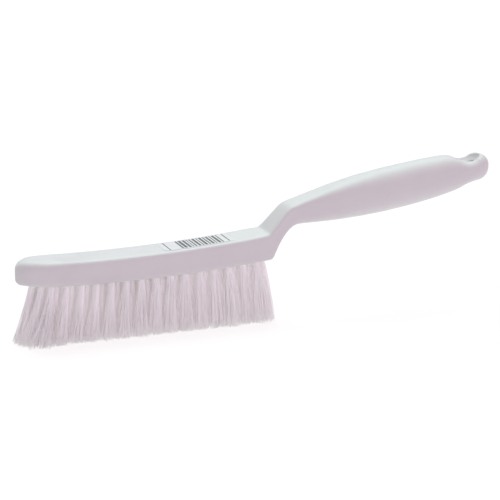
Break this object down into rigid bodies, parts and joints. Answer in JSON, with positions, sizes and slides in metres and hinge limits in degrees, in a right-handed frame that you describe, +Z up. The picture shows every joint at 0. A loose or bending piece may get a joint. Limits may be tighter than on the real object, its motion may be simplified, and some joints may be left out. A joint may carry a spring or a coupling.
{
  "type": "soft hand brush",
  "caption": "White hand brush: bowed block with rows of soft filament tufts, cranked neck, oval grip ending in a paddle with a hang hole. Stands on its bristles.",
  "frame": {"origin": "middle of the overall length and width, on the plane the filaments are trimmed to", "axes": "+X from the round nose of the block to the hang hole, +Y across the block, +Z up from the bristle tips to the grip"},
  "size_m": [0.3313, 0.0342, 0.0966],
  "materials": {
    "moulding": "satin moulded white",
    "filament": "bundle of fine white plastic filaments with air between them",
    "anchor": "plain flat strip",
    "label": "thin white film with plain dark bars that carry no code"
  },
  "bodies": {
    "brush": {"brush_body": "moulding", "film_label": "label", "anchors_row_1": "anchor", "anchors_row_2": "anchor", "anchors_row_3": "anchor", "anchors_row_4": "anchor", "anchors_row_5": "anchor"},
    "bristle_row_1": {"tufts_row_1_nose": "filament", "tufts_row_1_middle": "filament", "tufts_row_1_heel": "filament"},
    "bristle_row_2": {"tufts_row_2_nose": "filament", "tufts_row_2_middle": "filament", "tufts_row_2_heel": "filament"},
    "bristle_row_3": {"tufts_row_3_nose": "filament", "tufts_row_3_middle": "filament", "tufts_row_3_heel": "filament"},
    "bristle_row_4": {"tufts_row_4_nose": "filament", "tufts_row_4_middle": "filament", "tufts_row_4_heel": "filament"},
    "bristle_row_5": {"tufts_row_5_nose": "filament", "tufts_row_5_middle": "filament", "tufts_row_5_heel": "filament"}
  },
  "joints": [
    {"name": "row_1_flex", "type": "hinge", "parent": "brush", "child": "bristle_row_1", "pos_m": [0, -0.0094, 0.0385], "axis": [1, 0, 0], "range_deg": [-20, 20], "stiffness_Nm_per_rad": 0.2, "deforming": ["tufts_row_1_nose", "tufts_row_1_middle", "tufts_row_1_heel"]},
    {"name": "row_2_flex", "type": "hinge", "parent": "brush", "child": "bristle_row_2", "pos_m": [0, -0.0047, 0.0385], "axis": [1, 0, 0], "range_deg": [-20, 20], "stiffness_Nm_per_rad": 0.2, "deforming": ["tufts_row_2_nose", "tufts_row_2_middle", "tufts_row_2_heel"]},
    {"name": "row_3_flex", "type": "hinge", "parent": "brush", "child": "bristle_row_3", "pos_m": [0, 0, 0.0385], "axis": [1, 0, 0], "range_deg": [-20, 20], "stiffness_Nm_per_rad": 0.2, "deforming": ["tufts_row_3_nose", "tufts_row_3_middle", "tufts_row_3_heel"]},
    {"name": "row_4_flex", "type": "hinge", "parent": "brush", "child": "bristle_row_4", "pos_m": [0, 0.0047, 0.0385], "axis": [1, 0, 0], "range_deg": [-20, 20], "stiffness_Nm_per_rad": 0.2, "deforming": ["tufts_row_4_nose", "tufts_row_4_middle", "tufts_row_4_heel"]},
    {"name": "row_5_flex", "type": "hinge", "parent": "brush", "child": "bristle_row_5", "pos_m": [0, 0.0094, 0.0385], "axis": [1, 0, 0], "range_deg": [-20, 20], "stiffness_Nm_per_rad": 0.2, "deforming": ["tufts_row_5_nose", "tufts_row_5_middle", "tufts_row_5_heel"]}
  ],
  "couplings": [
    {"joint": "row_2_flex", "follows": "row_1_flex", "ratio": 1},
    {"joint": "row_3_flex", "follows": "row_1_flex", "ratio": 1},
    {"joint": "row_4_flex", "follows": "row_1_flex", "ratio": 1},
    {"joint": "row_5_flex", "follows": "row_1_flex", "ratio": 1}
  ]
}
